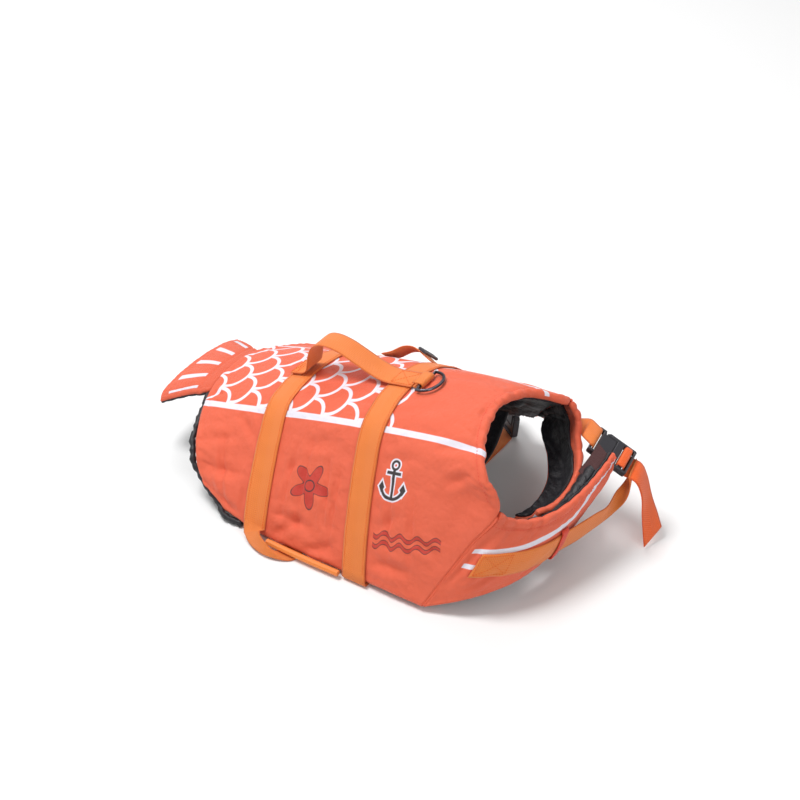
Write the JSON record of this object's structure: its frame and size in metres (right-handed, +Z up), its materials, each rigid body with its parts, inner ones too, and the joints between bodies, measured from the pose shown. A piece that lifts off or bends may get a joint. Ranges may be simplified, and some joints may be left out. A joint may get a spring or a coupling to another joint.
{
  "type": "dog life jacket",
  "caption": "Foam-padded dog life jacket with girth straps, top handle, leash ring, buckled chest arms and a flat tail fin, standing empty.",
  "frame": {"origin": "centre of the flat underside of the front girth strap, below the spine, on the surface the jacket stands on", "axes": "+X towards the head opening, +Y to the wearer's left, +Z up"},
  "size_m": [0.4779, 0.2975, 0.1509],
  "materials": {
    "shell": "matt coated cloth",
    "lining": "matt",
    "webbing": "fine weave",
    "strip": "short pile",
    "plastic": "moulded",
    "metal": "dark plated"
  },
  "bodies": {
    "root": {"body_shell": "shell", "body_lining": "lining", "chest_arm_right": "shell", "chest_arm_right_lining": "lining", "chest_arm_left": "shell", "chest_arm_left_lining": "lining", "tail_fin": "shell", "tail_underside": "lining", "girth_strap_front": "webbing", "girth_strap_rear": "webbing", "belly_band": "lining", "edge_roll_right": "webbing", "handle": "webbing", "leash_ring": "metal", "ring_tab": "webbing", "adjuster_loop": "webbing", "adjuster_slider": "plastic", "chest_buckle_socket": "plastic", "chest_buckle_plug": "plastic", "front_belly_buckle_socket": "plastic", "front_belly_buckle_plug": "plastic", "rear_belly_buckle_socket": "plastic", "rear_belly_buckle_plug": "plastic", "chest_strap_right": "webbing", "strap_keeper": "webbing", "chest_strap_end": "webbing", "chest_strap_left": "webbing", "fastening_strip": "strip"}
  },
  "joints": []
}
